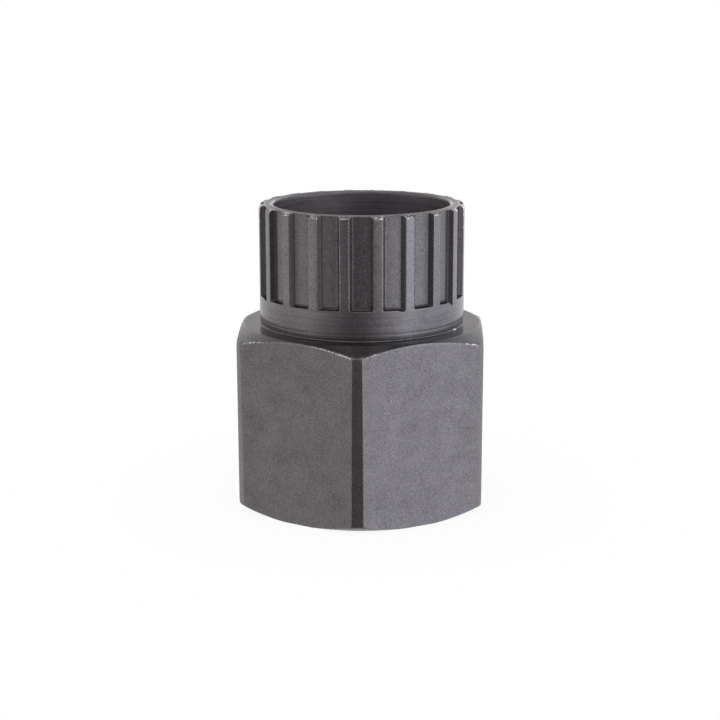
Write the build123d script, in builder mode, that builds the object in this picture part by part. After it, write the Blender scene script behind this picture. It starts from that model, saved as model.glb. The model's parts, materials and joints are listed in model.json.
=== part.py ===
# Freewheel remover, one piece of steel, standing on its hexagonal end.
# Millimetres and degrees. The origin is the centre of the hexagon's end face, and +Z runs up the
# tool's axis to the splined crown. A corner of the hexagon points to -Y, and two flats face +X and -X.
import os
from math import radians, sqrt, tan

from build123d import *

os.makedirs("parts", exist_ok=True)

# Wrench head
across_flats = 25.4
head_height = 19.2
corner_trim = 0.27
shoulder_inset = 0.2
shoulder_cone_angle = 26.0
end_face_overlap = 0.05
end_cone_angle = 28.0

# Plain collar between the head and the splines
collar_height = 3.1
relief_height = 0.7
relief_depth = 0.04
shoulder_fillet = 0.1

# Splined crown
spline_diameter = 21.6
spline_count = 20
spline_length = 9.5
spline_depth = 0.5
land_width = 0.95
flank_angle = 30.0
root_fillet = 0.12
crown_phase = 1.6
crown_edge = 0.25

# Stepped bore
crown_wall = 1.0
rim_edge = 0.1
axle_hole_diameter = 12.0
axle_hole_edge = 0.5
end_wall = 6.0
bore_floor_fillet = 0.8

# Radii and heights that follow from the sizes above
flat_radius = across_flats / 2
corner_radius = across_flats / sqrt(3) - corner_trim
shoulder_radius = flat_radius - shoulder_inset
end_face_radius = flat_radius + end_face_overlap
shoulder_cone_drop = (corner_radius - shoulder_radius) * tan(radians(shoulder_cone_angle))
end_cone_rise = (corner_radius - end_face_radius) * tan(radians(end_cone_angle))
crown_radius = spline_diameter / 2
neck_radius = crown_radius - relief_depth
root_radius = crown_radius - spline_depth
bore_radius = root_radius - crown_wall
groove_floor = head_height + collar_height
total_height = groove_floor + spline_length

with BuildPart() as remover_body:
    # The head is turned first: an end cone, the corners brought to one diameter and a shoulder cone.
    with BuildSketch(Plane.XZ):
        with BuildLine():
            Polyline(
                (0, 0),
                (end_face_radius, 0),
                (corner_radius, end_cone_rise),
                (corner_radius, head_height - shoulder_cone_drop),
                (shoulder_radius, head_height),
                (0, head_height),
                close=True,
            )
        make_face()
    revolve(axis=Axis.Z)

    # The six flats are milled through it, which leaves an arc at both ends of each flat.
    with BuildSketch(Plane.XY):
        RegularPolygon(radius=flat_radius, side_count=6, major_radius=False, rotation=30)
    extrude(amount=head_height, mode=Mode.INTERSECT)

    # Collar and crown are turned in one pass, from the shoulder's fillet and the shallow relief up.
    with BuildSketch(Plane.XZ):
        with BuildLine():
            fillet_foot = (neck_radius + shoulder_fillet, head_height)
            fillet_top = (neck_radius, head_height + shoulder_fillet)
            RadiusArc(fillet_foot, fillet_top, shoulder_fillet)
            Polyline(
                fillet_top,
                (neck_radius, head_height + relief_height - relief_depth),
                (crown_radius, head_height + relief_height),
                (crown_radius, total_height - crown_edge),
                (crown_radius - crown_edge, total_height),
                (0, total_height),
                (0, head_height),
                fillet_foot,
            )
        make_face()
    revolve(axis=Axis.Z)

    # The wide bore clears the hub's nuts, and the narrow hole in the end wall clears its axle.
    with Locations((0, 0, total_height)):
        CounterBoreHole(
            radius=axle_hole_diameter / 2,
            counter_bore_radius=bore_radius,
            counter_bore_depth=total_height - end_wall,
        )
    circles = remover_body.edges().filter_by(GeomType.CIRCLE)
    floor_corner = circles.sort_by_distance((bore_radius, 0, end_wall))[0]
    fillet(floor_corner, bore_floor_fillet)
    rim = remover_body.faces().sort_by(Axis.Z)[-1]
    chamfer(rim.inner_wires()[0].edges(), rim_edge)
    end_face = remover_body.faces().sort_by(Axis.Z)[0]
    chamfer(end_face.inner_wires()[0].edges(), axle_hole_edge)

    # The grooves are all that lies outside the spline section: a root circle with one land per spline.
    # A land is a trapezoid, wider at its root by the slant of its two flanks.
    with BuildSketch(Plane.XY.offset(groove_floor)) as grooves:
        land_foot = root_radius - spline_depth
        land_tip = crown_radius + spline_depth
        foot_half = land_width / 2 + (crown_radius - land_foot) * tan(radians(flank_angle))
        tip_half = land_width / 2 - (land_tip - crown_radius) * tan(radians(flank_angle))
        first_land = crown_phase - 90 + 180 / spline_count
        Circle(crown_radius + spline_depth / 2)
        Circle(root_radius, mode=Mode.SUBTRACT)
        with PolarLocations(0, spline_count, start_angle=first_land):
            Polygon(
                (land_foot, -foot_half),
                (land_tip, -tip_half),
                (land_tip, tip_half),
                (land_foot, foot_half),
                align=None,
                mode=Mode.SUBTRACT,
            )
        root_corners = grooves.vertices().group_by(SortBy.DISTANCE)[0]
        fillet(root_corners, root_fillet)
    extrude(amount=spline_length, mode=Mode.SUBTRACT)

remover_body.part.label = "remover_body"
export_step(remover_body.part, "parts/remover_body.step")
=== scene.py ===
# %% [markdown]
# # A freewheel remover
# The tool is one piece of steel, and each surface shows how it was made: the flats were milled and
# blasted, the turned surfaces have fine rings, and the grooves between the splines were cut. All of it is
# black oxide, rubbed back to bare metal on the sharpest edges. This lesson builds that skin round the
# solid that the frame gives, which sets every outer size.

import json
from math import acos, atan2, cos, degrees, hypot, pi, radians, sin, sqrt, tan

import bmesh
import bpy
from mathutils import Matrix, Vector, noise

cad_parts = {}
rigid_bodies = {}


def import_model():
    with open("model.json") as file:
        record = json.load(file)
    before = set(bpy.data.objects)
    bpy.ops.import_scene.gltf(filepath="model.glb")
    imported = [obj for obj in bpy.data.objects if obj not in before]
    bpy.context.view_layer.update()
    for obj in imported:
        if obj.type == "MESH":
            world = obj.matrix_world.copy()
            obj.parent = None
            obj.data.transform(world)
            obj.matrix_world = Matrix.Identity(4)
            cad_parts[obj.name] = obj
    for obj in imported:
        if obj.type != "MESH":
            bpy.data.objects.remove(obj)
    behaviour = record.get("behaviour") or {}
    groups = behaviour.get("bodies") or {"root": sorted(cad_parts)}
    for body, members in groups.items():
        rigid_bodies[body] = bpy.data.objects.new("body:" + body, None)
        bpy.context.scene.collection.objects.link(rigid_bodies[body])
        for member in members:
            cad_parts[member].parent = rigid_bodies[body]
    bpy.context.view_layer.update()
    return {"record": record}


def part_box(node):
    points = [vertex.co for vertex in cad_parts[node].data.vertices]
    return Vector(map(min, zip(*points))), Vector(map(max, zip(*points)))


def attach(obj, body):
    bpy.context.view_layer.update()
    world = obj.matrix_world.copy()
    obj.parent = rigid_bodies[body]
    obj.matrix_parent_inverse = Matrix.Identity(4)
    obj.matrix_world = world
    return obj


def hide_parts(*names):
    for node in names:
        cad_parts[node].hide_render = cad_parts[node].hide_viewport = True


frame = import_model()

# %% [markdown]
# The driving sizes come first. The largest ones are read from the solid and from its record, so the skin
# can't drift from them. The others are the sizes of the cones, the relief and the broken edges.

# %% Sizes
MM = 0.001
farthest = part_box("remover_body")[1]
flat_radius, corner_radius, total_height = farthest
mount_sizes = {m["name"]: m["dims"] for m in frame["record"]["mounts"]}
bore_radius = mount_sizes["hub_clearance_bore"]["r_mm"] * MM
hole_radius = mount_sizes["axle_hole"]["r_mm"] * MM

head_height = 19.2 * MM
flat_count = 6
corner_angle = 180 / flat_count
shoulder_radius = flat_radius - 0.2 * MM
shoulder_angle = 26
shoulder_slope = tan(radians(shoulder_angle))
end_face_radius = flat_radius + 0.05 * MM
end_slope = tan(radians(28))
relief_depth = 0.04 * MM
shoulder_fillet = 0.1 * MM
groove_floor = head_height + 3.1 * MM

crown_radius = 10.8 * MM
neck_radius = crown_radius - relief_depth
spline_count = 20
spline_depth = 0.5 * MM
root_radius = crown_radius - spline_depth
land_width = 0.95 * MM
flank_slope = tan(radians(30))
crown_edge = 0.25 * MM
bevel_radius = crown_radius - crown_edge
spline_angle = 360 / spline_count
first_land = 1.6 - 90 + spline_angle / 2

rim_edge = 0.1 * MM
end_wall = 6.0 * MM
floor_fillet = 0.8 * MM
hole_edge = 0.5 * MM
print("crown", round(crown_radius / MM, 2), "mm, bore", round(bore_radius / MM, 2), "mm")

# %% [markdown]
# Real edges are never sharp. A machined corner is broken by a few hundredths of a millimetre, and that
# narrow band is what catches the light. This helper swaps the corner of an outline for a short arc.

# %% Round one corner of an outline


def rounded_corner(before, corner, after, radius, steps):
    """Points of the arc that touches both sides of a corner in a flat outline."""
    before, corner, after = Vector(before), Vector(corner), Vector(after)
    to_before = (before - corner).normalized()
    to_after = (after - corner).normalized()
    half_angle = to_before.angle(to_after) / 2
    centre = corner + (to_before + to_after).normalized() * (radius / sin(half_angle))
    start = corner + to_before * (radius / tan(half_angle)) - centre
    end = corner + to_after * (radius / tan(half_angle)) - centre
    turn = start.angle_signed(end)
    return [centre + Matrix.Rotation(-turn * k / steps, 2) @ start for k in range(steps + 1)]


def polar(radius, angle):
    """A point of a plan outline, from its radius and its angle in degrees."""
    return Vector((radius * cos(radians(angle)), radius * sin(radians(angle))))


arc = rounded_corner((1, 0), (0, 0), (0, 1), 0.5, 2)
print("a rounded square corner:", [tuple(round(c, 3) for c in p) for p in arc])

# %% [markdown]
# The crown repeats twenty times, so only one sector of 18 degrees is drawn: half a groove, one land and
# half a groove. The land is a trapezoid with 30 degree flanks. Its feet run into the groove with a small
# fillet, and its two outer corners are only just broken.

# %% One spline in plan
land_tip_round = 0.05 * MM
land_root_fillet = 0.15 * MM


def mirrored(half):
    """A whole sector from the half that runs from its edge to its middle."""
    return [Vector((p.x, -p.y)) for p in half] + list(reversed(half[:-1]))


def spline_plan():
    """Plan of one sector of the crown, with its land in the middle, on +X."""
    half_tip = land_width / 2
    half_foot = half_tip + spline_depth * flank_slope
    tip = Vector((sqrt(crown_radius**2 - half_tip**2), half_tip))
    foot = Vector((sqrt(root_radius**2 - half_foot**2), half_foot))
    foot_angle = degrees(atan2(foot.y, foot.x))
    root = rounded_corner(polar(root_radius, foot_angle + 1), foot, tip, land_root_fillet, 3)
    top = rounded_corner(foot, tip, (crown_radius, 0), land_tip_round, 3)
    floor_start, floor_end = spline_angle / 2, degrees(atan2(root[0].y, root[0].x))
    floor = [polar(root_radius, floor_start + (floor_end - floor_start) * k / 3) for k in range(3)]
    flank = [root[-1].lerp(top[0], share) for share in (0.4, 0.8)]
    land_end = degrees(atan2(top[-1].y, top[-1].x))
    land = [polar(crown_radius, land_end * share) for share in (0.78, 0.4, 0)]
    return mirrored(floor + root + flank + top + land)


crown_plan = spline_plan()
print("one spline:", len(crown_plan), "points,", round(land_width / MM, 2), "mm wide at its tip")

# %% [markdown]
# The head repeats six times. Its sector is centred on a flat, and ends in the middle of the narrow
# turned strips that are left at the hexagon's corners. Points crowd towards the flat's edges, so that
# smooth shading bends only there and the flat itself stays flat.

# %% One flat in plan
strip_edge_round = 0.12 * MM
flat_steps = 40


def flat_plan():
    """Plan of one sector of the head, with its flat in the middle, facing +X."""
    edge_angle = degrees(acos(flat_radius / corner_radius))
    edge = polar(corner_radius, edge_angle)
    on_strip = polar(corner_radius, edge_angle + 1)
    bend = rounded_corner(on_strip, edge, (flat_radius, 0), strip_edge_round, 4)
    strip_end = degrees(atan2(bend[0].y, bend[0].x))
    strip = [polar(corner_radius, corner_angle + (strip_end - corner_angle) * k / 6) for k in range(6)]
    shares = [cos(pi / 2 * k / flat_steps) for k in range(1, flat_steps + 1)]
    flat = [Vector((flat_radius, bend[-1].y * share)) for share in shares]
    return mirrored(strip + bend + flat)


head_plan = flat_plan()
middle = head_plan[len(head_plan) // 2]
print("one flat:", len(head_plan), "points,", round(2 * middle.length / MM, 2), "mm over flats")

# %% [markdown]
# Each sector is a grid. Its columns are the points of the plan, and every column is one path in radius
# and height, like a section cut through the tool there. The crown's path climbs the collar, turns in
# over the floor of the groove, climbs the wall, crosses the rim and goes down the bore. On a land there
# is no groove, so the same points lie close together on one straight line.

# %% The crown's section
join_height = head_height + 1.5 * MM
fan_middle = join_height + 0.6 * MM
fan_end = groove_floor - 0.15 * MM
ledge_round = 0.05 * MM
ledge_fillet = 0.30 * MM
ledge_gain = 3
wall_steps = 20
edge_round = 0.04 * MM
bevel_rings = (10.66 * MM, bevel_radius + 0.02 * MM, bevel_radius - 0.02 * MM, 10.42 * MM)
rim_rings = (10.15 * MM, 9.95 * MM)
rim_radius = bore_radius + rim_edge
crown_bore_rows = (31.4 * MM, 29 * MM, 26 * MM, 23 * MM)

# The turned line on the rim is a narrow V: each pair is a distance from its middle, in millimetres, and
# a share of its depth.
rim_line_radius = 9.8 * MM
rim_line_depth = 0.12 * MM
rim_line_shape = ((0.16, 0), (0.10, 0), (0.06, 0.5), (0, 1), (-0.06, 0.5), (-0.10, 0), (-0.16, 0))


def eased_shares(steps):
    """Shares between 0 and 1 that crowd towards both ends."""
    return [(1 - cos(pi * k / steps)) / 2 for k in range(1, steps)]


def rows_inward(start, rings, height_at):
    """Rows over a turned face: each stands at its ring, or just inside the row before."""
    radii = [min(ring, start - (k + 1) * 0.01 * MM) for k, ring in enumerate(rings)]
    return [(radius, height_at(radius)) for radius in radii]


def crown_top(radius):
    """Height of the turned top, which a small chamfer breaks at the outside."""
    return total_height - max(0, radius - bevel_radius)


def groove_ledge(depth):
    """The floor of a groove, from the collar's face in to the groove's wall."""
    share = depth / spline_depth
    outer = rounded_corner((0, -1), (0, 0), (-1, 0), ledge_round, 2)
    inner = rounded_corner((0, 0), (-spline_depth, 0), (-spline_depth, 1), ledge_fillet, 4)
    ledge = outer + [(outer[-1] + inner[0]) / 2] + inner
    points = []
    for k, point in enumerate(ledge):
        straight = (ledge_fillet + ledge_round) * k / (len(ledge) - 1) - ledge_round
        height = straight + (point.y - straight) * min(1, ledge_gain * share)
        points.append((crown_radius + point.x * share, groove_floor + height))
    return points


def crown_section(radius):
    """Path of one column of the crown, whose wall stands at this radius."""
    path = [(crown_radius, height) for height in (join_height, fan_middle, fan_end)]
    path += groove_ledge(crown_radius - radius)
    slope = 1 if radius > bevel_radius else 0
    top = crown_top(radius)
    lip = rounded_corner((radius, top - 1), (radius, top), (radius - 1, top + slope), edge_round, 2)
    foot = path[-1][1]
    path += [(radius, foot + (lip[0].y - foot) * share) for share in eased_shares(wall_steps)]
    path += lip + rows_inward(lip[-1].x, bevel_rings, crown_top)
    path += [(ring, total_height) for ring in rim_rings]
    for aside, drop in rim_line_shape:
        path.append((rim_line_radius + aside * MM, total_height - drop * rim_line_depth))
    corners = [(crown_radius, total_height), (rim_radius, total_height)]
    corners += [(bore_radius, total_height - rim_edge), (bore_radius, join_height)]
    path += rounded_corner(*corners[:3], edge_round, 2) + rounded_corner(*corners[1:], edge_round, 2)
    path += [(bore_radius, height) for height in (*crown_bore_rows, join_height)]
    return [tuple(point) for point in path]


land_section = crown_section(crown_radius)
print("crown section:", len(land_section), "points, top at", round(total_height / MM, 2), "mm")

# %% [markdown]
# The head's path goes the other way: from the collar down over the shoulder and its cone, down the flat,
# in over the end cone and the end face, and up through the axle hole and the bore. The flats were milled
# through a turned blank, so each column takes its two end points from the cones at its own radius. That
# is what draws the arcs at the ends of the flats.

# %% The head's section
arc_round = 1.6 * edge_round
cone_steps = 5
flat_rows = 16
shoulder_rings = (11.3 * MM, 11.8 * MM, 12.2 * MM)
end_cone_rings = (13.6 * MM, end_face_radius + 0.02 * MM, end_face_radius - 0.02 * MM)
end_face_rings = (12.2 * MM, 11.2 * MM, 9.5 * MM, 7.5 * MM)
hole_rows = (2 * MM, 4 * MM)
end_wall_rings = (6.8 * MM, 7.6 * MM)
head_bore_rows = (9 * MM, 12 * MM, 15 * MM, 18 * MM)

# The collar's foot, as depths in the collar and heights over the shoulder, in millimetres. First comes
# the turned line, and then the relief, which draws in more and more towards the fillet.
foot_shape = [(0, 0.74), (0.008, 0.70)]
foot_shape += [(0.004 + 0.009 * (k / 5) ** 2, 0.66 - 0.44 * k / 5) for k in range(6)]


def shoulder_top(radius):
    """Height of the turned shoulder: a ring, then a cone that falls outwards."""
    return head_height - max(0, radius - shoulder_radius) * shoulder_slope


def end_bottom(radius):
    """Height of the turned end: a face, then a cone that rises outwards."""
    return max(0, radius - end_face_radius) * end_slope


def collar_base():
    """The foot of the collar: a turned line, a wall that draws in below it, and a fillet."""
    path = [(crown_radius, join_height)]
    path += [(crown_radius - depth * MM, head_height + rise * MM) for depth, rise in foot_shape]
    foot, ring = (neck_radius, head_height), (shoulder_radius, head_height)
    return path + rounded_corner(path[-1], foot, ring, shoulder_fillet, 4)


def head_section(radius):
    """Path of one column of the head, whose flat or strip stands at this radius."""
    path = collar_base() + [(ring, head_height) for ring in shoulder_rings]
    cone_start, cone_end = (shoulder_radius, head_height), (radius, shoulder_top(radius))
    path += rounded_corner((neck_radius, head_height), cone_start, cone_end, edge_round, 2)
    top = rounded_corner(cone_start, cone_end, (radius, 0), arc_round, 3)
    start = Vector(path[-1])
    path += [start.lerp(top[0], k / cone_steps) for k in range(1, cone_steps)] + top
    foot, inner = (radius, end_bottom(radius)), radius - 0.2 * MM
    bottom = rounded_corner((radius, head_height), foot, (inner, end_bottom(inner)), arc_round, 3)
    path += [top[-1].lerp(bottom[0], share) for share in eased_shares(flat_rows)] + bottom
    path += rows_inward(bottom[-1].x, end_cone_rings, end_bottom)
    path += [(ring, 0) for ring in end_face_rings]
    return [tuple(point) for point in path + bore_side()]


def bore_side():
    """From the end face up through the axle hole, over the end wall and up the wide bore."""
    mouth = [(end_face_radius, 0), (hole_radius + hole_edge, 0), (hole_radius, hole_edge)]
    floor = [(hole_radius, end_wall), (bore_radius, end_wall), (bore_radius, join_height)]
    path = rounded_corner(*mouth, edge_round, 2) + rounded_corner(*mouth[1:], floor[0], edge_round, 2)
    path += [(hole_radius, height) for height in hole_rows]
    path += rounded_corner(mouth[2], floor[0], floor[1], edge_round, 2)
    path += [(ring, end_wall) for ring in end_wall_rings]
    path += rounded_corner(*floor, floor_fillet, 6)
    return path + [(bore_radius, height) for height in (*head_bore_rows, join_height)]


corner_section = head_section(corner_radius)
print("head section:", len(corner_section), "points")

# %% [markdown]
# Plan and section together make a sector. On the turned surfaces the columns stand at even steps of
# angle, so that the crown's ring meets the head's ring point by point inside the collar. From there they
# slide to the angles that the splines or the flats need. Each face also gets a number for its finish,
# from where its middle lies. The hundredths of a millimetre in those tests allow for the broken edges.

# %% Turn a plan and a section into one sector
BLASTED, TURNED, STRIP, SHOULDER, MILLED, FLANK, FACED, BORED = range(8)
ring_step = 0.6
ring_turn = ring_step * round(first_land / ring_step) - first_land
rim_fan = (9.5 * MM, 10.15 * MM)
shoulder_fan = (11 * MM, 12.2 * MM)


def share_between(value, start, end):
    """How far a value is from start to end, kept between 0 and 1."""
    return min(1, max(0, (value - start) / (end - start)))


def crown_share(radius, height):
    """How much a row of the crown follows the splines: more up the collar, and less across the rim."""
    rising = share_between(height, join_height, fan_end)
    return min(rising, share_between(radius, *rim_fan))


def head_share(radius, height):
    """How much a row of the head follows the flats, at any height."""
    return share_between(radius, *shoulder_fan)


def crown_finish(radius, height):
    """Bore, faced rim, flanks of the splines, milled lands and grooves, and the turned collar."""
    if radius < bore_radius + 0.01 * MM:
        return BORED
    if radius < bevel_radius and height > total_height - 0.04 * MM:
        return FACED
    if height < groove_floor or radius < root_radius - 0.02 * MM:
        return TURNED
    flank = root_radius + 0.01 * MM < radius < crown_radius - 0.03 * MM
    return FLANK if flank and height < crown_top(radius) - 0.01 * MM else MILLED


def head_finish(radius, height):
    """Flats were blasted, the hole and the bore were bored, and all the rest was turned."""
    if radius < bore_radius + 0.01 * MM and height > hole_edge:
        return BORED
    under_shoulder = height < shoulder_top(radius) - 0.02 * MM
    wall = radius > shoulder_radius and under_shoulder and height > end_bottom(radius) + 0.02 * MM
    if wall:
        return BLASTED if radius < corner_radius - 0.03 * MM else STRIP
    on_ring = neck_radius + 0.05 * MM < radius < shoulder_radius
    return SHOULDER if on_ring and abs(height - head_height) < 0.03 * MM else TURNED


def sector_object(name, plan, section, share, finish, turn):
    """A mesh of one sector, its columns from the plan and its rows from the section."""
    half = ring_step * (len(plan) - 1) / 2
    columns = []
    for i, point in enumerate(plan):
        even = i * ring_step - half + turn
        own = degrees(atan2(point.y, point.x))
        column = []
        for r, z in section(point.length):
            angle = radians(even + (own - even) * share(r, z))
            column.append(Vector((r * cos(angle), r * sin(angle), z)))
        columns.append(column)
    rows = len(columns[0])
    points = [point for column in columns for point in column]
    faces, finishes = [], []
    for i in range(len(columns) - 1):
        for k in range(rows - 1):
            a = i * rows + k
            faces.append((a, a + rows, a + rows + 1, a + 1))
            middle = (points[a] + points[a + rows] + points[a + rows + 1] + points[a + 1]) / 4
            finishes.append(finish(hypot(middle.x, middle.y), middle.z))
    mesh = bpy.data.meshes.new(name)
    mesh.from_pydata(points, [], faces)
    mesh.attributes.new("finish", "INT", "FACE").data.foreach_set("value", finishes)
    print(name, "has", len(columns), "columns,", rows, "rows and", len(faces), "faces")
    return bpy.data.objects.new(name, mesh)


crown_sector = sector_object(
    "crown_sector", crown_plan, crown_section, crown_share, crown_finish, ring_turn
)
head_sector = sector_object("head_sector", head_plan, head_section, head_share, head_finish, 0)
head_sector.data.flip_normals()

# %% [markdown]
# Black oxide is a thin skin of magnetite on the steel, so it shines like dark metal. It keeps whatever
# texture the tool left under it, and that texture is what tells the surfaces apart. All eight finishes
# share one recipe: a dark metal whose colour and roughness drift a little, with bump for the grain and
# the rings. Two attributes change it from point to point. The first pales the oxide where a surface is
# rubbed, and it also carries painted light and shade: paler where light would catch the relief, some
# land edges and some flanks, and darker as painted shade in the grooves. Where the wear beats a fine
# noise the steel is bare. Positions come from Object coordinates, scaled to millimetres, so a scale of 5
# in a noise means about five grains in a millimetre.

# %% Node helpers


def add_node(tree, kind, settings=None, inputs=None):
    """A node with its settings, and its inputs either set or linked."""
    node = tree.nodes.new(kind)
    for name, value in (settings or {}).items():
        setattr(node, name, value)
    for name, value in (inputs or {}).items():
        if isinstance(value, bpy.types.NodeSocket):
            tree.links.new(value, node.inputs[name])
        else:
            node.inputs[name].default_value = value
    return node


def calculate(tree, operation, *values):
    """A Math node, whose values are numbers or sockets."""
    return add_node(tree, "ShaderNodeMath", {"operation": operation}, dict(enumerate(values))).outputs[0]


def weighted_sum(tree, *terms):
    """The sum of some sockets, each times its own share."""
    products = [calculate(tree, "MULTIPLY", socket, share) for socket, share in terms]
    total = products[0]
    for product in products[1:]:
        total = calculate(tree, "ADD", total, product)
    return total


def span(tree, value, low_in, high_in, low_out, high_out):
    """A Map Range node that clamps."""
    inputs = {"Value": value, "From Min": low_in, "From Max": high_in}
    inputs |= {"To Min": low_out, "To Max": high_out}
    return add_node(tree, "ShaderNodeMapRange", {}, inputs).outputs["Result"]


def grain(tree, vector, scale, detail=2.0, roughness=0.5):
    """The factor of a three-dimensional noise."""
    inputs = {"Vector": vector, "Scale": scale, "Detail": detail, "Roughness": roughness}
    return add_node(tree, "ShaderNodeTexNoise", {}, inputs).outputs["Fac"]


def mix_colours(tree, factor, first, second):
    """A Mix node for two colours, whose sockets have the same names for numbers, so they go by place."""
    inputs = {0: factor, 6: first, 7: second}
    return add_node(tree, "ShaderNodeMix", {"data_type": "RGBA"}, inputs).outputs[2]


def attribute(tree, name):
    """A value that the skin's points carry."""
    return add_node(tree, "ShaderNodeAttribute", {"attribute_name": name}).outputs["Fac"]


def millimetres(tree):
    """Object coordinates in millimetres."""
    place = add_node(tree, "ShaderNodeTexCoord").outputs["Object"]
    inputs = {"Vector": place, "Scale": (1000, 1000, 1000)}
    return add_node(tree, "ShaderNodeMapping", {}, inputs).outputs[0]


# %% [markdown]
# A lathe leaves fine rings round the axis. A noise looks like them when it changes fast with the height
# and with the radius, and slowly along each ring. Its four numbers are the height, the radius and the two
# shrunk coordinates of the place, so it is a four-dimensional noise.

# %% Turned rings
rings_per_mm = 9.0
along_ring_per_mm = 0.10


def ring_noise(tree, place):
    """A noise drawn out along the turning direction, so that it reads as fine rings."""
    axes = add_node(tree, "ShaderNodeSeparateXYZ", {}, {"Vector": place}).outputs
    squares = [calculate(tree, "POWER", axes[name], 2.0) for name in "XY"]
    radius = calculate(tree, "SQRT", calculate(tree, "ADD", *squares))
    scales = {"X": along_ring_per_mm, "Y": along_ring_per_mm, "Z": rings_per_mm}
    scaled = {name: calculate(tree, "MULTIPLY", axes[name], scale) for name, scale in scales.items()}
    stretched = add_node(tree, "ShaderNodeCombineXYZ", {}, scaled).outputs[0]
    across = calculate(tree, "MULTIPLY", radius, rings_per_mm)
    inputs = {"Vector": stretched, "W": across, "Scale": 1.0, "Detail": 2.0, "Roughness": 0.6}
    return add_node(tree, "ShaderNodeTexNoise", {"noise_dimensions": "4D"}, inputs).outputs["Fac"]


print("about", rings_per_mm, "rings in a millimetre")

# %% [markdown]
# Each finish then says what its tool left: how rough it is, how deep the grain and the rings are in
# millimetres, how strongly the rings and the grain colour it, and its tint. Two tints are painted light
# instead: the flanks' dark tint is painted shade for the walls in the grooves, and the bore's pale tint
# is painted light for its deep inside. The blasted flats have finer grain. The faced rim is anisotropic,
# because its rings all run one way. On the rim and the shoulder, which the camera sees at a low angle, a
# Specular Tint below one keeps that view from going too pale.

# %% The finishes
oxide_colour = (0.142, 0.137, 0.140)
steel_colour = (0.74, 0.71, 0.67, 1)
cloud_share = 0.16
paling_gain = 0.27
roughness_drift = 0.05
noise_range = (0.3, 0.7)


def oxide_colours(tree, fine, cloud, rings, ring_share, contrast, tint):
    """The oxide's colour, which drifts between a dark and a light one. It is paler where it is rubbed or
    carries painted light, and darker under painted shade.
    """
    shares = (cloud, cloud_share), (fine, 1 - cloud_share - ring_share), (rings, ring_share)
    drift = span(tree, weighted_sum(tree, *shares), *noise_range, 0.0, 1.0)
    dark = (*(c * t * (1 - contrast) for c, t in zip(oxide_colour, tint)), 1)
    light = (*(c * t * (1 + contrast) for c, t in zip(oxide_colour, tint)), 1)
    colour = mix_colours(tree, drift, dark, light)
    # The oxide pales with rubbing and with painted light, and darkens where the value is negative, which
    # is painted shade.
    paler = calculate(tree, "MULTIPLY", attribute(tree, "rubbing_and_painted_light"), paling_gain)
    inputs = {0: colour, "Scale": calculate(tree, "ADD", paler, 1.0)}
    return add_node(tree, "ShaderNodeVectorMath", {"operation": "SCALE"}, inputs).outputs[0]


def bare_steel(tree, place):
    """Where the steel is bare: in flecks where wear beats a noise, and faintly in a few lone grains."""
    flecks = grain(tree, place, scale=4.0, roughness=0.6)
    over = calculate(tree, "SUBTRACT", calculate(tree, "ADD", attribute(tree, "wear"), flecks), 1.0)
    worn = span(tree, over, -0.02, 0.10, 0.0, 1.0)
    glints = span(tree, grain(tree, place, scale=8.0, detail=1.0), 0.71, 0.80, 0.0, 0.25)
    return calculate(tree, "MAXIMUM", worn, glints)


def oxide_steel(name, roughness, grain_depth, contrast, ring_depth=0.0, ring_share=0.0,
                tint=(1, 1, 1), per_mm=5.5, anisotropic=0.0, grazing=1.0):
    """Black oxide over steel, with grain and rings of the given depths in millimetres."""
    material = bpy.data.materials.new(name)
    material.use_nodes = True
    tree = material.node_tree
    shader = tree.nodes["Principled BSDF"]
    shader.inputs["Metallic"].default_value = 1.0
    shader.inputs["Specular Tint"].default_value = (grazing, grazing, grazing, 1)
    place = millimetres(tree)
    fine = grain(tree, place, scale=per_mm, detail=3.0, roughness=0.75)
    cloud = grain(tree, place, scale=0.5, detail=3.0, roughness=0.6)
    rings = ring_noise(tree, place)

    oxide = oxide_colours(tree, fine, cloud, rings, ring_share, contrast, tint)
    colour = mix_colours(tree, bare_steel(tree, place), oxide, steel_colour)
    tree.links.new(colour, shader.inputs["Base Color"])

    smooth, dull = roughness - roughness_drift, roughness + roughness_drift
    tree.links.new(span(tree, fine, *noise_range, smooth, dull), shader.inputs["Roughness"])

    height = weighted_sum(tree, (fine, grain_depth), (rings, ring_depth))
    bump = add_node(tree, "ShaderNodeBump", {}, {"Height": height, "Distance": MM, "Strength": 1.0})
    tree.links.new(bump.outputs[0], shader.inputs["Normal"])
    if anisotropic:
        shader.inputs["Anisotropic"].default_value = anisotropic
        tree.links.new(place, shader.inputs["Tangent"])
    print(name, "roughness", roughness, "grain", grain_depth, "mm, rings", ring_depth, "mm")
    return material


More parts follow.
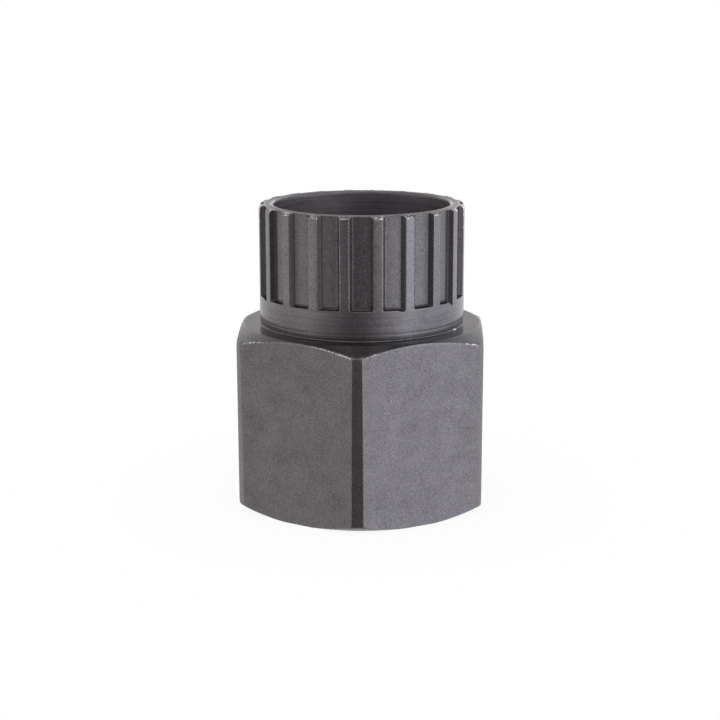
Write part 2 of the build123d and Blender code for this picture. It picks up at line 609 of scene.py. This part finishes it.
finishes = {
    BLASTED: oxide_steel(
        "blasted_black_oxide", roughness=0.42, grain_depth=0.005, contrast=0.70,
        tint=(1.19, 1.19, 1.19), per_mm=8.5,
    ),
    TURNED: oxide_steel(
        "turned_black_oxide", roughness=0.27, grain_depth=0.002, contrast=0.50,
        ring_depth=0.002, ring_share=0.40,
    ),
    STRIP: oxide_steel(
        "strip_black_oxide", roughness=0.27, grain_depth=0.004, contrast=0.50,
        ring_share=0.05, tint=(1.00, 0.98, 0.96),
    ),
    SHOULDER: oxide_steel(
        "shoulder_black_oxide", roughness=0.20, grain_depth=0.003, contrast=0.50,
        ring_depth=0.002, ring_share=0.20, tint=(0.70, 0.68, 0.66), grazing=0.74,
    ),
    MILLED: oxide_steel("milled_black_oxide", roughness=0.27, grain_depth=0.003, contrast=0.45),
    # The flanks' dark tint is painted shade, for groove walls that lie in each other's shadow and
    # reflection.
    FLANK: oxide_steel(
        "flank_oxide_with_painted_shade", roughness=0.36, grain_depth=0.003, contrast=0.40,
        tint=(0.55, 0.52, 0.53),
    ),
    FACED: oxide_steel(
        "faced_black_oxide", roughness=0.30, grain_depth=0.002, contrast=0.40,
        ring_depth=0.006, ring_share=0.45, tint=(1.12, 1.09, 1.07), anisotropic=0.8, grazing=0.86,
    ),
    # The bore's pale tint is painted light, standing in for light that reaches deep inside; its roughness
    # and rings are the bored finish.
    BORED: oxide_steel(
        "bored_oxide_with_painted_light", roughness=0.48, grain_depth=0.002, contrast=0.50,
        ring_depth=0.003, ring_share=0.50, tint=(1.40, 1.31, 1.37),
    ),
}

# %% [markdown]
# Now one Geometry Nodes tree makes the whole body. It sets copies of each sector round the axis, welds
# them where their edges meet, and gives every face the material of its finish. Twenty splines and six
# flats can't be uneven this way, because each is the same sector.

# %% The tree that repeats the sectors
weld_distance = 0.002 * MM


def sectors_round_axis(tree, source, count, start):
    """Instances of one object, turned evenly round Z."""
    points = add_node(tree, "GeometryNodePoints", {}, {"Count": count})
    index = add_node(tree, "GeometryNodeInputIndex").outputs[0]
    step = calculate(tree, "DIVIDE", 2 * pi, count)
    angle = calculate(tree, "ADD", calculate(tree, "MULTIPLY", index, step), start)
    turn = add_node(tree, "FunctionNodeAxisAngleToRotation", {}, {"Axis": (0, 0, 1), "Angle": angle})
    mesh = add_node(tree, "GeometryNodeObjectInfo", {}, {"Object": source}).outputs["Geometry"]
    inputs = {"Points": points.outputs[0], "Instance": mesh, "Rotation": turn.outputs[0]}
    return add_node(tree, "GeometryNodeInstanceOnPoints", {}, inputs).outputs[0]


def body_tree(materials):
    """The tree: two rings of sectors, realized, welded and given their finishes."""
    tree = bpy.data.node_groups.new("sectors_round_the_axis", "GeometryNodeTree")
    tree.interface.new_socket("Geometry", in_out="OUTPUT", socket_type="NodeSocketGeometry")
    kinds = {"Geometry": "Geometry", "Weld Distance": "Float"}
    for part in ("Crown", "Head"):
        kinds |= {part + " Sector": "Object", part + " Count": "Int", part + " Start": "Float"}
    for name, kind in kinds.items():
        tree.interface.new_socket(name, in_out="INPUT", socket_type="NodeSocket" + kind)
    given = tree.nodes.new("NodeGroupInput").outputs
    join = tree.nodes.new("GeometryNodeJoinGeometry")
    for part in ("Crown", "Head"):
        own = [given[f"{part} {name}"] for name in ("Sector", "Count", "Start")]
        tree.links.new(sectors_round_axis(tree, *own), join.inputs[0])
    real = add_node(tree, "GeometryNodeRealizeInstances", {}, {"Geometry": join.outputs[0]}).outputs[0]
    inputs = {"Geometry": real, "Distance": given["Weld Distance"]}
    result = add_node(tree, "GeometryNodeMergeByDistance", {}, inputs).outputs[0]
    number = add_node(tree, "GeometryNodeInputNamedAttribute", {"data_type": "INT"}, {"Name": "finish"})
    for finish, material in materials.items():
        settings = {"data_type": "INT", "operation": "EQUAL"}
        inputs = {2: number.outputs["Attribute"], 3: finish}
        same = add_node(tree, "FunctionNodeCompare", settings, inputs)
        inputs = {"Geometry": result, "Selection": same.outputs[0], "Material": material}
        result = add_node(tree, "GeometryNodeSetMaterial", {}, inputs).outputs[0]
    tree.links.new(result, tree.nodes.new("NodeGroupOutput").inputs[0])
    return tree


remover = bpy.data.objects.new("remover_skin", bpy.data.meshes.new("remover_skin"))
bpy.context.scene.collection.objects.link(remover)
modifier = remover.modifiers.new("sectors", "NODES")
modifier.node_group = body_tree(finishes)
tree_inputs = {
    "Crown Sector": crown_sector, "Crown Count": spline_count, "Crown Start": radians(first_land),
    "Head Sector": head_sector, "Head Count": flat_count, "Head Start": 0.0,
    "Weld Distance": weld_distance,
}
for item in modifier.node_group.interface.items_tree:
    if item.name in tree_inputs:
        modifier[item.identifier] = tree_inputs[item.name]
whole = bpy.data.meshes.new_from_object(remover.evaluated_get(bpy.context.evaluated_depsgraph_get()))
remover.modifiers.remove(modifier)
remover.data = whole
for sector in (crown_sector, head_sector):
    bpy.data.objects.remove(sector)
print("whole body:", len(whole.vertices), "points,", len(whole.polygons), "faces")

# %% [markdown]
# Tumbling and use have rounded the points where an arc, a flat and a corner strip meet, at both ends of
# every strip's edges. Each point near such a corner sinks along the corner's mean normal, by less the
# deeper it already lies.

# %% Round the corners of the flats
corner_cut = 0.12 * MM
corner_reach = 1.0 * MM


def corner_points():
    """The corners, each with the mean of the normals round it. Both cones count as equally steep."""
    tilt = radians(shoulder_angle)
    aside = degrees(acos(flat_radius / corner_radius))
    found = []
    for flat in range(flat_count):
        flat_angle = 2 * corner_angle * flat
        for angle in (flat_angle - aside, flat_angle + aside):
            radial = Vector((*polar(1, angle), 0))
            walls = radial + Vector((*polar(1, flat_angle), 0))
            for height, up in ((shoulder_top(corner_radius), 1), (end_bottom(corner_radius), -1)):
                cone = radial * sin(tilt) + Vector((0, 0, up * cos(tilt)))
                corner = radial * corner_radius + Vector((0, 0, height))
                found.append((corner, (walls + cone).normalized()))
    return found


corners = corner_points()
moved = 0
for vert in whole.vertices:
    if hypot(vert.co.x, vert.co.y) < corner_radius - corner_reach:
        continue
    for corner, outward in corners:
        aside = vert.co - corner
        depth = -aside.dot(outward)
        if aside.length < corner_reach and depth < corner_cut:
            vert.co -= outward * (corner_cut - depth) ** 2 / (2 * corner_cut)
            moved += 1
print("points moved round", len(corners), "corners:", moved)

# %% [markdown]
# The blank was turned a trace narrower towards its foot, so the strips that it leaves at the corners grow
# wider downwards. The edges of a strip slide along their flats, and its middle sinks between them.

# %% Widen the strips towards the foot
strip_spread = 0.12 * MM
strip_sink = 0.056 * MM
spread_reach = 1.5 * MM
spread_start, spread_end = 18 * MM, 1 * MM
wall_fade = (13.0 * MM, 13.7 * MM)
flat_step = 2 * corner_angle


def strip_shift(place):
    """How a point near a strip moves at the foot, in the plan of its flat, which faces +X."""
    edge = flat_radius * tan(acos(flat_radius / corner_radius))
    middle = corner_radius * sin(radians(corner_angle))
    slide = Vector((0, -strip_spread)) * share_between(abs(place.y), edge - spread_reach, edge)
    sink = polar(-strip_sink, corner_angle)
    shift = slide.lerp(sink, share_between(abs(place.y), edge, middle))
    return Vector((shift.x, shift.y if place.y > 0 else -shift.y))


widened = 0
for vert in whole.vertices:
    radius, height = hypot(vert.co.x, vert.co.y), vert.co.z
    on_wall = share_between(radius, *wall_fade)
    if on_wall == 0 or height > shoulder_top(corner_radius):
        continue
    down = sin(pi / 2 * share_between(height, spread_start, spread_end))
    nearest = flat_step * round(degrees(atan2(vert.co.y, vert.co.x)) / flat_step)
    flat_turn = Matrix.Rotation(radians(nearest), 2)
    shift = flat_turn @ strip_shift(flat_turn.inverted() @ vert.co.xy) * down * on_wall
    vert.co += Vector((shift.x, shift.y, 0))
    widened += shift.length > 0
print("points moved for the strips:", widened)

# %% [markdown]
# The cutter that made the grooves ran a little deep in three of their corners. Lowering the points near
# such a corner drops the groove's floor there, and only slides the points of the upright faces along
# themselves. The tips of the lands have small dents as well, which a smooth noise makes.

# %% Notches in the grooves and dents in the tips
FRONT = -90
groove_notches = [(61.3, 0.50 * MM), (24.4, 0.16 * MM), (-65.4, 0.18 * MM)]
notch_half_angle = 3.2
notch_reach = 0.9 * MM
tip_dent = 0.05 * MM
tip_zone = 0.3 * MM
dents_per_metre = 1400
dent_levels = (0.05, 0.5)


def angle_from_front(point):
    """Angle of a point round the axis, in degrees from the front corner."""
    return (degrees(atan2(point.y, point.x)) - FRONT + 180) % 360 - 180


dropped = 0
for vert in whole.vertices:
    radius, rise = hypot(vert.co.x, vert.co.y), vert.co.z - groove_floor
    if radius < root_radius - 0.05 * MM or rise < -notch_reach:
        continue
    if vert.co.z > total_height - tip_zone:
        vert.co.z -= tip_dent * share_between(noise.noise(vert.co * dents_per_metre), *dent_levels)
        continue
    near_floor = 1 - abs(rise) / notch_reach
    for angle, depth in groove_notches:
        share = 1 - abs(angle_from_front(vert.co) - angle) / notch_half_angle
        if share > 0 and near_floor > 0:
            vert.co.z -= depth * share * near_floor
            dropped += 1
print("points dropped for", len(groove_notches), "notches:", dropped)

# %% [markdown]
# A closed skin with its faces outwards has no open edge and a positive volume. The same pass finds the
# sharp edges by the angle between faces, because those are the places where handling rubs the oxide off.

# %% Check the skin and find its sharp edges
sharp_bends = (3, 10)
skin = bmesh.new()
skin.from_mesh(whole)
bmesh.ops.recalc_face_normals(skin, faces=skin.faces)
open_edges = [e for e in skin.edges if len(e.link_faces) != 2]
print("open edges:", len(open_edges), "volume:", round(skin.calc_volume(signed=True) * 1e9, 1), "mm3")
sharpness = []
for vert in skin.verts:
    bends = [degrees(e.calc_face_angle_signed(0)) for e in vert.link_edges]
    sharpness.append(share_between(max(bends), *sharp_bends))
print("points on sharp edges:", sum(s > 0.5 for s in sharpness))
skin.to_mesh(whole)
skin.free()
whole.shade_smooth()

# %% [markdown]
# Sharp edges of a used tool are not even. The bare metal sits in flecks, and it is heaviest where the
# tool has met others: along parts of the arcs at the top of the flats, and on the tips of some lands.
# So wear is the sharpness of an edge times a base amount, raised near a few chosen places. A place is an
# angle round the axis, a radius and a height, with the reach and the amount of its effect. Rubbing is the
# milder change, which only pales the oxide along the worn edges. The same value also pales the lands, and
# it carries painted light and shade: painted light in the relief under the collar, painted highlights
# along a few land edges and painted light on a few flanks, each by its angle from the front and its
# amount, and painted shade in a groove beside the land that shades it.

# %% Wear along the edges, with painted light and shade
base_wear = 0.30
bevel_edge = 0.8
foot_gain = 3
strip_share = 0.4


def place_on(angle, radius, height):
    """A point by its angle from the front corner, in degrees, its radius and its height."""
    flat = polar(radius, FRONT + angle)
    return Vector((flat.x, flat.y, height))


crown_tip = total_height - 0.12 * MM
worn_places = [
    (place_on(-13, 13.4 * MM, 18.8 * MM), 2.6 * MM, 0.30),
    (place_on(-5, 14.2 * MM, 18.4 * MM), 1.2 * MM, 0.20),
    (place_on(-52, 13.8 * MM, 18.6 * MM), 1.6 * MM, 0.28),
    (place_on(8, 13.9 * MM, 18.5 * MM), 0.7 * MM, 0.20),
    (place_on(53, 13.9 * MM, 18.5 * MM), 1.2 * MM, 0.20),
    (place_on(57.5, 14.3 * MM, 18.4 * MM), 0.8 * MM, 0.26),
    (place_on(-25, crown_radius, crown_tip), 0.8 * MM, 0.36),
    (place_on(-8, crown_radius, crown_tip), 0.5 * MM, 0.28),
    (place_on(11, crown_radius, crown_tip), 0.8 * MM, 0.32),
    (place_on(28, crown_radius, crown_tip), 0.7 * MM, 0.32),
    (place_on(46, crown_radius, crown_tip), 0.6 * MM, 0.30),
    (place_on(-43.1, 10.55 * MM, total_height), 0.75 * MM, 0.46),
    (place_on(-58, 10.6 * MM, total_height), 0.7 * MM, 0.40),
    (place_on(-79, crown_radius, crown_tip), 0.8 * MM, 0.10),
    (place_on(66, crown_radius, crown_tip), 0.6 * MM, 0.26),
    (place_on(0, 14.3 * MM, 16.5 * MM), 3.0 * MM, 0.20),
    (place_on(84, 9.7 * MM, total_height), 3.6 * MM, 0.36),
    (place_on(-84, 9.7 * MM, total_height), 3.6 * MM, 0.30),
    (place_on(65, neck_radius, head_height), 0.6 * MM, 0.40),
]
# Painted highlights: bright lines along a few land edges, by angle from the front and amount.
land_edge_highlights = [
    (-27.9, 0.5), (-9.9, 3.5), (-4.9, 3.0), (8.1, 0.5), (13.1, 2.0), (26.1, 1.0), (44.1, 1.0),
]
# Painted light on a few flanks near the front, which pales them against their painted shade.
flank_painted_light = [(-10.7, 7.0), (-4.1, 3.5), (7.3, 5.5), (13.9, 9.0)]
edge_half_angle = 0.5
flank_half_angle = 1.2
skin_depth = 0.12 * MM
strip_depth = 0.11 * MM
relief_top = head_height + 0.75 * MM
relief_fade = (head_height + 0.22 * MM, head_height + 0.45 * MM)
relief_side = (15, 40)
relief_right, relief_low = 0.6, 1.7
land_rise = (groove_floor - 1.2 * MM, groove_floor + 0.8 * MM)
land_sides = (66, 80)
shade_start, shade_width = 4, 5
shade_gain, shade_depth = 1.4, 1.5


def near(angle, spots, half_angle):
    """The amounts of the spots near an angle, each fading out over the half angle."""
    return sum(amount * max(0, 1 - abs(angle - spot) / half_angle) for spot, amount in spots)


def edge_at(point, radius, sharp, extra):
    """How much of an edge a point is on. The bevel counts, and so does a worn foot of the collar."""
    bevel = radius > bevel_radius and point.z > total_height - crown_edge
    foot = radius < neck_radius + skin_depth and head_height < point.z < head_height + skin_depth
    edge = max(sharp, bevel_edge if bevel else 0, min(1, foot_gain * extra) if foot else 0)
    on_strip = point.z < head_height and radius > corner_radius - strip_depth
    return edge * strip_share if on_strip else edge


def relief_painted_light(height, angle):
    """Painted light in the relief: paler towards the right, and low down near the shoulder."""
    low = 1 - share_between(height, *relief_fade)
    return relief_right * share_between(angle, *relief_side) + relief_low * low


def land_paling_and_highlights(height, radius, angle):
    """Paler lands, fading in up the collar and out towards the sides of the tool, with painted highlights
    on some land edges.
    """
    on_land = share_between(radius, crown_radius - skin_depth, crown_radius - 0.02 * MM)
    on_land *= 1 - share_between(abs(angle), *land_sides)
    on_edge = near(angle, land_edge_highlights, edge_half_angle) if height > groove_floor else 0
    return (on_land + on_edge) * share_between(height, *land_rise)


def groove_painted_shade(angle):
    """Painted shade in a groove, beside the land on its outer side as seen from the front, which shades
    it.
    """
    aside = (angle + FRONT - first_land + spline_angle / 2) % spline_angle - spline_angle / 2
    near_foot = max(0, 1 - (abs(aside) - shade_start) / shade_width)
    shaded = -shade_gain * sin(radians(angle)) * (1 if aside > 0 else -1)
    return -shade_depth * near_foot * min(1, max(0, shaded))


def wear_at(point, sharp):
    """Wear of a point, and its rubbing with painted light and shade, from its sharpness and the places
    and edges near it.
    """
    radius, height, angle = hypot(point.x, point.y), point.z, angle_from_front(point)
    extra = 0
    for place, reach, amount in worn_places:
        extra += amount * max(0, 1 - (point - place).length_squared / reach**2)
    edge = edge_at(point, radius, sharp, extra)
    rubbing_and_painted_light = edge * (1 + 2 * extra)
    on_outside = radius > crown_radius - skin_depth
    # Painted light: the relief under the collar is paled towards the right and near the shoulder.
    if on_outside and head_height + skin_depth < height < relief_top:
        rubbing_and_painted_light = relief_painted_light(height, angle)
    # Paler lands, and painted highlights along a few of their edges.
    if on_outside and height > head_height + 1 * MM:
        rubbing_and_painted_light = max(rubbing_and_painted_light, land_paling_and_highlights(height, radius, angle))
    # Painted light on a few flanks near the front.
    on_flank = root_radius + 0.03 * MM < radius < crown_radius - 0.06 * MM
    if on_flank and height > groove_floor + 0.4 * MM:
        rubbing_and_painted_light = max(rubbing_and_painted_light, near(angle, flank_painted_light, flank_half_angle))
    # Painted shade: the groove is darkened beside the land that shades it.
    in_groove = bore_radius + 0.5 * MM < radius < root_radius + 0.02 * MM
    if in_groove and height > groove_floor:
        rubbing_and_painted_light = groove_painted_shade(angle)
    return edge * (base_wear + extra), rubbing_and_painted_light


wear, rubbing_and_painted_light = zip(*(wear_at(v.co, s) for v, s in zip(whole.vertices, sharpness)))
whole.attributes.new("wear", "FLOAT", "POINT").data.foreach_set("value", wear)
whole.attributes.new("rubbing_and_painted_light", "FLOAT", "POINT").data.foreach_set("value", rubbing_and_painted_light)
print("points with wear over a half:", sum(w > 0.5 for w in wear))

# %% [markdown]
# The tool stands on a plain pale floor. The floor mixes in a little of its lit surface, so that it shows
# white to the camera and still keeps the soft shadow.

# %% Floor
floor_size = 400 * MM
floor_colour = (0.86, 0.86, 0.86, 1)
shadow_start, shadow_end = 20 * MM, 60 * MM
shadow_white = 0.92


def floor_material():
    """Pale matt floor that reads as white and keeps a shadow."""
    material = bpy.data.materials.new("pale_floor")
    material.use_nodes = True
    tree = material.node_tree
    tree.nodes.remove(tree.nodes["Principled BSDF"])
    matt = add_node(tree, "ShaderNodeBsdfDiffuse", {}, {"Color": floor_colour}).outputs[0]
    white = add_node(tree, "ShaderNodeEmission", {}, {"Color": (1, 1, 1, 1)}).outputs[0]
    place = add_node(tree, "ShaderNodeTexCoord").outputs["Object"]
    settings = {"operation": "LENGTH"}
    distance = add_node(tree, "ShaderNodeVectorMath", settings, {0: place}).outputs["Value"]
    white_share = span(tree, distance, shadow_start, shadow_end, shadow_white, 1.0)
    rays = add_node(tree, "ShaderNodeLightPath").outputs
    seen = calculate(tree, "MAXIMUM", rays["Is Camera Ray"], rays["Is Transmission Ray"])
    share = calculate(tree, "MULTIPLY", seen, white_share)
    mix = add_node(tree, "ShaderNodeMixShader", {}, {0: share, 1: matt, 2: white}).outputs[0]
    tree.links.new(mix, tree.nodes["Material Output"].inputs["Surface"])
    return material


floor_mesh = bpy.data.meshes.new("floor")
half = floor_size / 2
floor_corners = [(-half, -half, 0), (half, -half, 0), (half, half, 0), (-half, half, 0)]
floor_mesh.from_pydata(floor_corners, [], [(0, 1, 2, 3)])
floor = bpy.data.objects.new("floor", floor_mesh)
floor_mesh.materials.append(floor_material())
bpy.context.scene.collection.objects.link(floor)
floor.visible_glossy = False
print("floor", round(floor_size / MM), "mm square")

# %% [markdown]
# Dark metal shows its form by what it reflects, so the room that it mirrors is drawn with care. The
# camera sees plain white, but a mirrored ray reads its brightness off a ramp, by its angle from the
# front. The front is dim, because the surfaces that face the camera are the darkest. The left is white,
# and the right is the brightest. The room darkens overhead and far below. The floor stays out of the
# reflections, because it would only repeat the camera's white.

# %% The room in the reflections
room_levels = [
    (-180, 1.00), (-150, 0.98), (-123, 0.97), (-90, 0.90), (-76, 0.88), (-63, 0.95), (-56, 0.93),
    (-49, 0.78), (-42, 0.66), (-35, 0.52), (-28, 0.43), (-21, 0.37), (-14, 0.30), (0, 0.30), (6, 0.34),
    (12, 0.42), (18, 0.60), (25, 0.80), (32, 1.00), (40, 1.18), (47, 1.45), (54, 1.86), (61, 1.73),
    (69, 1.40), (80, 1.40), (98, 1.30), (115, 1.26), (135, 1.28), (155, 1.12), (180, 1.00),
]
brightest = 2.0
room_white = Vector((1.0, 0.985, 0.99))
warmer = Vector((0.0, -0.08, -0.015))
cooler = Vector((-0.02, 0.01, 0.09))
warm_levels = (0.25, 0.8)
cool_from, cool_until = (15, 50), (130, 180)


def room_colour(angle, level):
    """Colour of the room: the dim part is warmer and the right side cooler."""
    warm = 1 - share_between(level, *warm_levels)
    cool = share_between(angle, *cool_from) * (1 - share_between(angle, *cool_until))
    tint = room_white + warmer * warm + cooler * cool
    return (*(tint * level / brightest), 1)


world = bpy.data.worlds.new("white_room")
world.use_nodes = True
bpy.context.scene.world = world
tree = world.node_tree
direction = add_node(tree, "ShaderNodeTexCoord").outputs["Generated"]
axes = add_node(tree, "ShaderNodeSeparateXYZ", {}, {"Vector": direction}).outputs
towards_front = calculate(tree, "MULTIPLY", axes["Y"], -1.0)
turn = calculate(tree, "DIVIDE", calculate(tree, "ARCTAN2", axes["X"], towards_front), 2 * pi)
ramp = add_node(tree, "ShaderNodeValToRGB", {}, {"Fac": calculate(tree, "ADD", turn, 0.5)})
stops = ramp.color_ramp.elements
while len(stops) < len(room_levels):
    stops.new(0.5)
for stop, (angle, level) in zip(stops, room_levels):
    stop.position = angle / 360 + 0.5
    stop.color = room_colour(angle, level)
overhead = span(tree, axes["Z"], low_in=0.38, high_in=0.72, low_out=1.0, high_out=0.38)
below = span(tree, axes["Z"], low_in=-0.75, high_in=-0.35, low_out=0.5, high_out=1.0)
strength = calculate(tree, "MULTIPLY", calculate(tree, "MULTIPLY", overhead, below), brightest)
room = add_node(tree, "ShaderNodeBackground", {}, {"Color": ramp.outputs["Color"], "Strength": strength})
white = add_node(tree, "ShaderNodeBackground", {}, {"Color": (1, 1, 1, 1), "Strength": 1.0})
glossy_ray = add_node(tree, "ShaderNodeLightPath").outputs["Is Glossy Ray"]
inputs = {0: glossy_ray, 1: white.outputs[0], 2: room.outputs[0]}
mix = add_node(tree, "ShaderNodeMixShader", {}, inputs).outputs[0]
tree.links.new(mix, tree.nodes["World Output"].inputs["Surface"])
levels = [level for _, level in room_levels]
print("room: dimmest", min(levels), "brightest", max(levels))

# %% [markdown]
# One large soft lamp hangs overhead, a little in front. It lights the broken edges at the tips of the
# splines and the mouth of the bore, and it lays the soft shadow on the floor.

# %% Lamp


def soft_lamp(name, angle, distance, height, size, power):
    """A square area lamp that looks at the middle of the tool."""
    light = bpy.data.lights.new(name, "AREA")
    light.size = size
    light.energy = power
    lamp = bpy.data.objects.new(name, light)
    lamp.location = place_on(angle, distance, height)
    aim = Vector((0, 0, total_height / 2)) - lamp.location
    lamp.rotation_euler = aim.to_track_quat("-Z", "Y").to_euler()
    lamp.visible_camera = False
    bpy.context.scene.collection.objects.link(lamp)
    return lamp


soft_lamp("overhead", angle=0, distance=150 * MM, height=290 * MM, size=300 * MM, power=0.22)

# %% [markdown]
# The camera's place was worked out from the photograph: the tool's outline, the tilt of its rim and the
# corner of its hexagon fix the distance, the height and the small turn to the side.

# %% Camera
camera_distance = 169.37 * MM
camera_height = 54.70 * MM
camera_side_angle = 1.838
camera_pitch = 13.24
camera_aim_left = 0.067
camera_roll = -0.093
camera_lens = 81.192
sensor_width = 36

camera_data = bpy.data.cameras.new("camera")
camera_data.lens = camera_lens
camera_data.sensor_width = sensor_width
camera_data.clip_start = 1 * MM
camera = bpy.data.objects.new("camera", camera_data)
turn = Matrix.Rotation(radians(camera_side_angle + camera_aim_left), 4, "Z")
tilt = Matrix.Rotation(radians(90 - camera_pitch), 4, "X")
roll = Matrix.Rotation(radians(camera_roll), 4, "Z")
stand = Matrix.Translation(place_on(camera_side_angle, camera_distance, camera_height))
camera.matrix_world = stand @ turn @ tilt @ roll
bpy.context.scene.collection.objects.link(camera)
bpy.context.scene.camera = camera
bpy.context.scene.view_settings.view_transform = "Standard"
print("camera at", [round(c / MM, 1) for c in camera.location], "mm")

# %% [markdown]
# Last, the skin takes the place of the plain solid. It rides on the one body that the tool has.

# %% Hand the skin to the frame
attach(remover, "root")
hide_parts("remover_body")
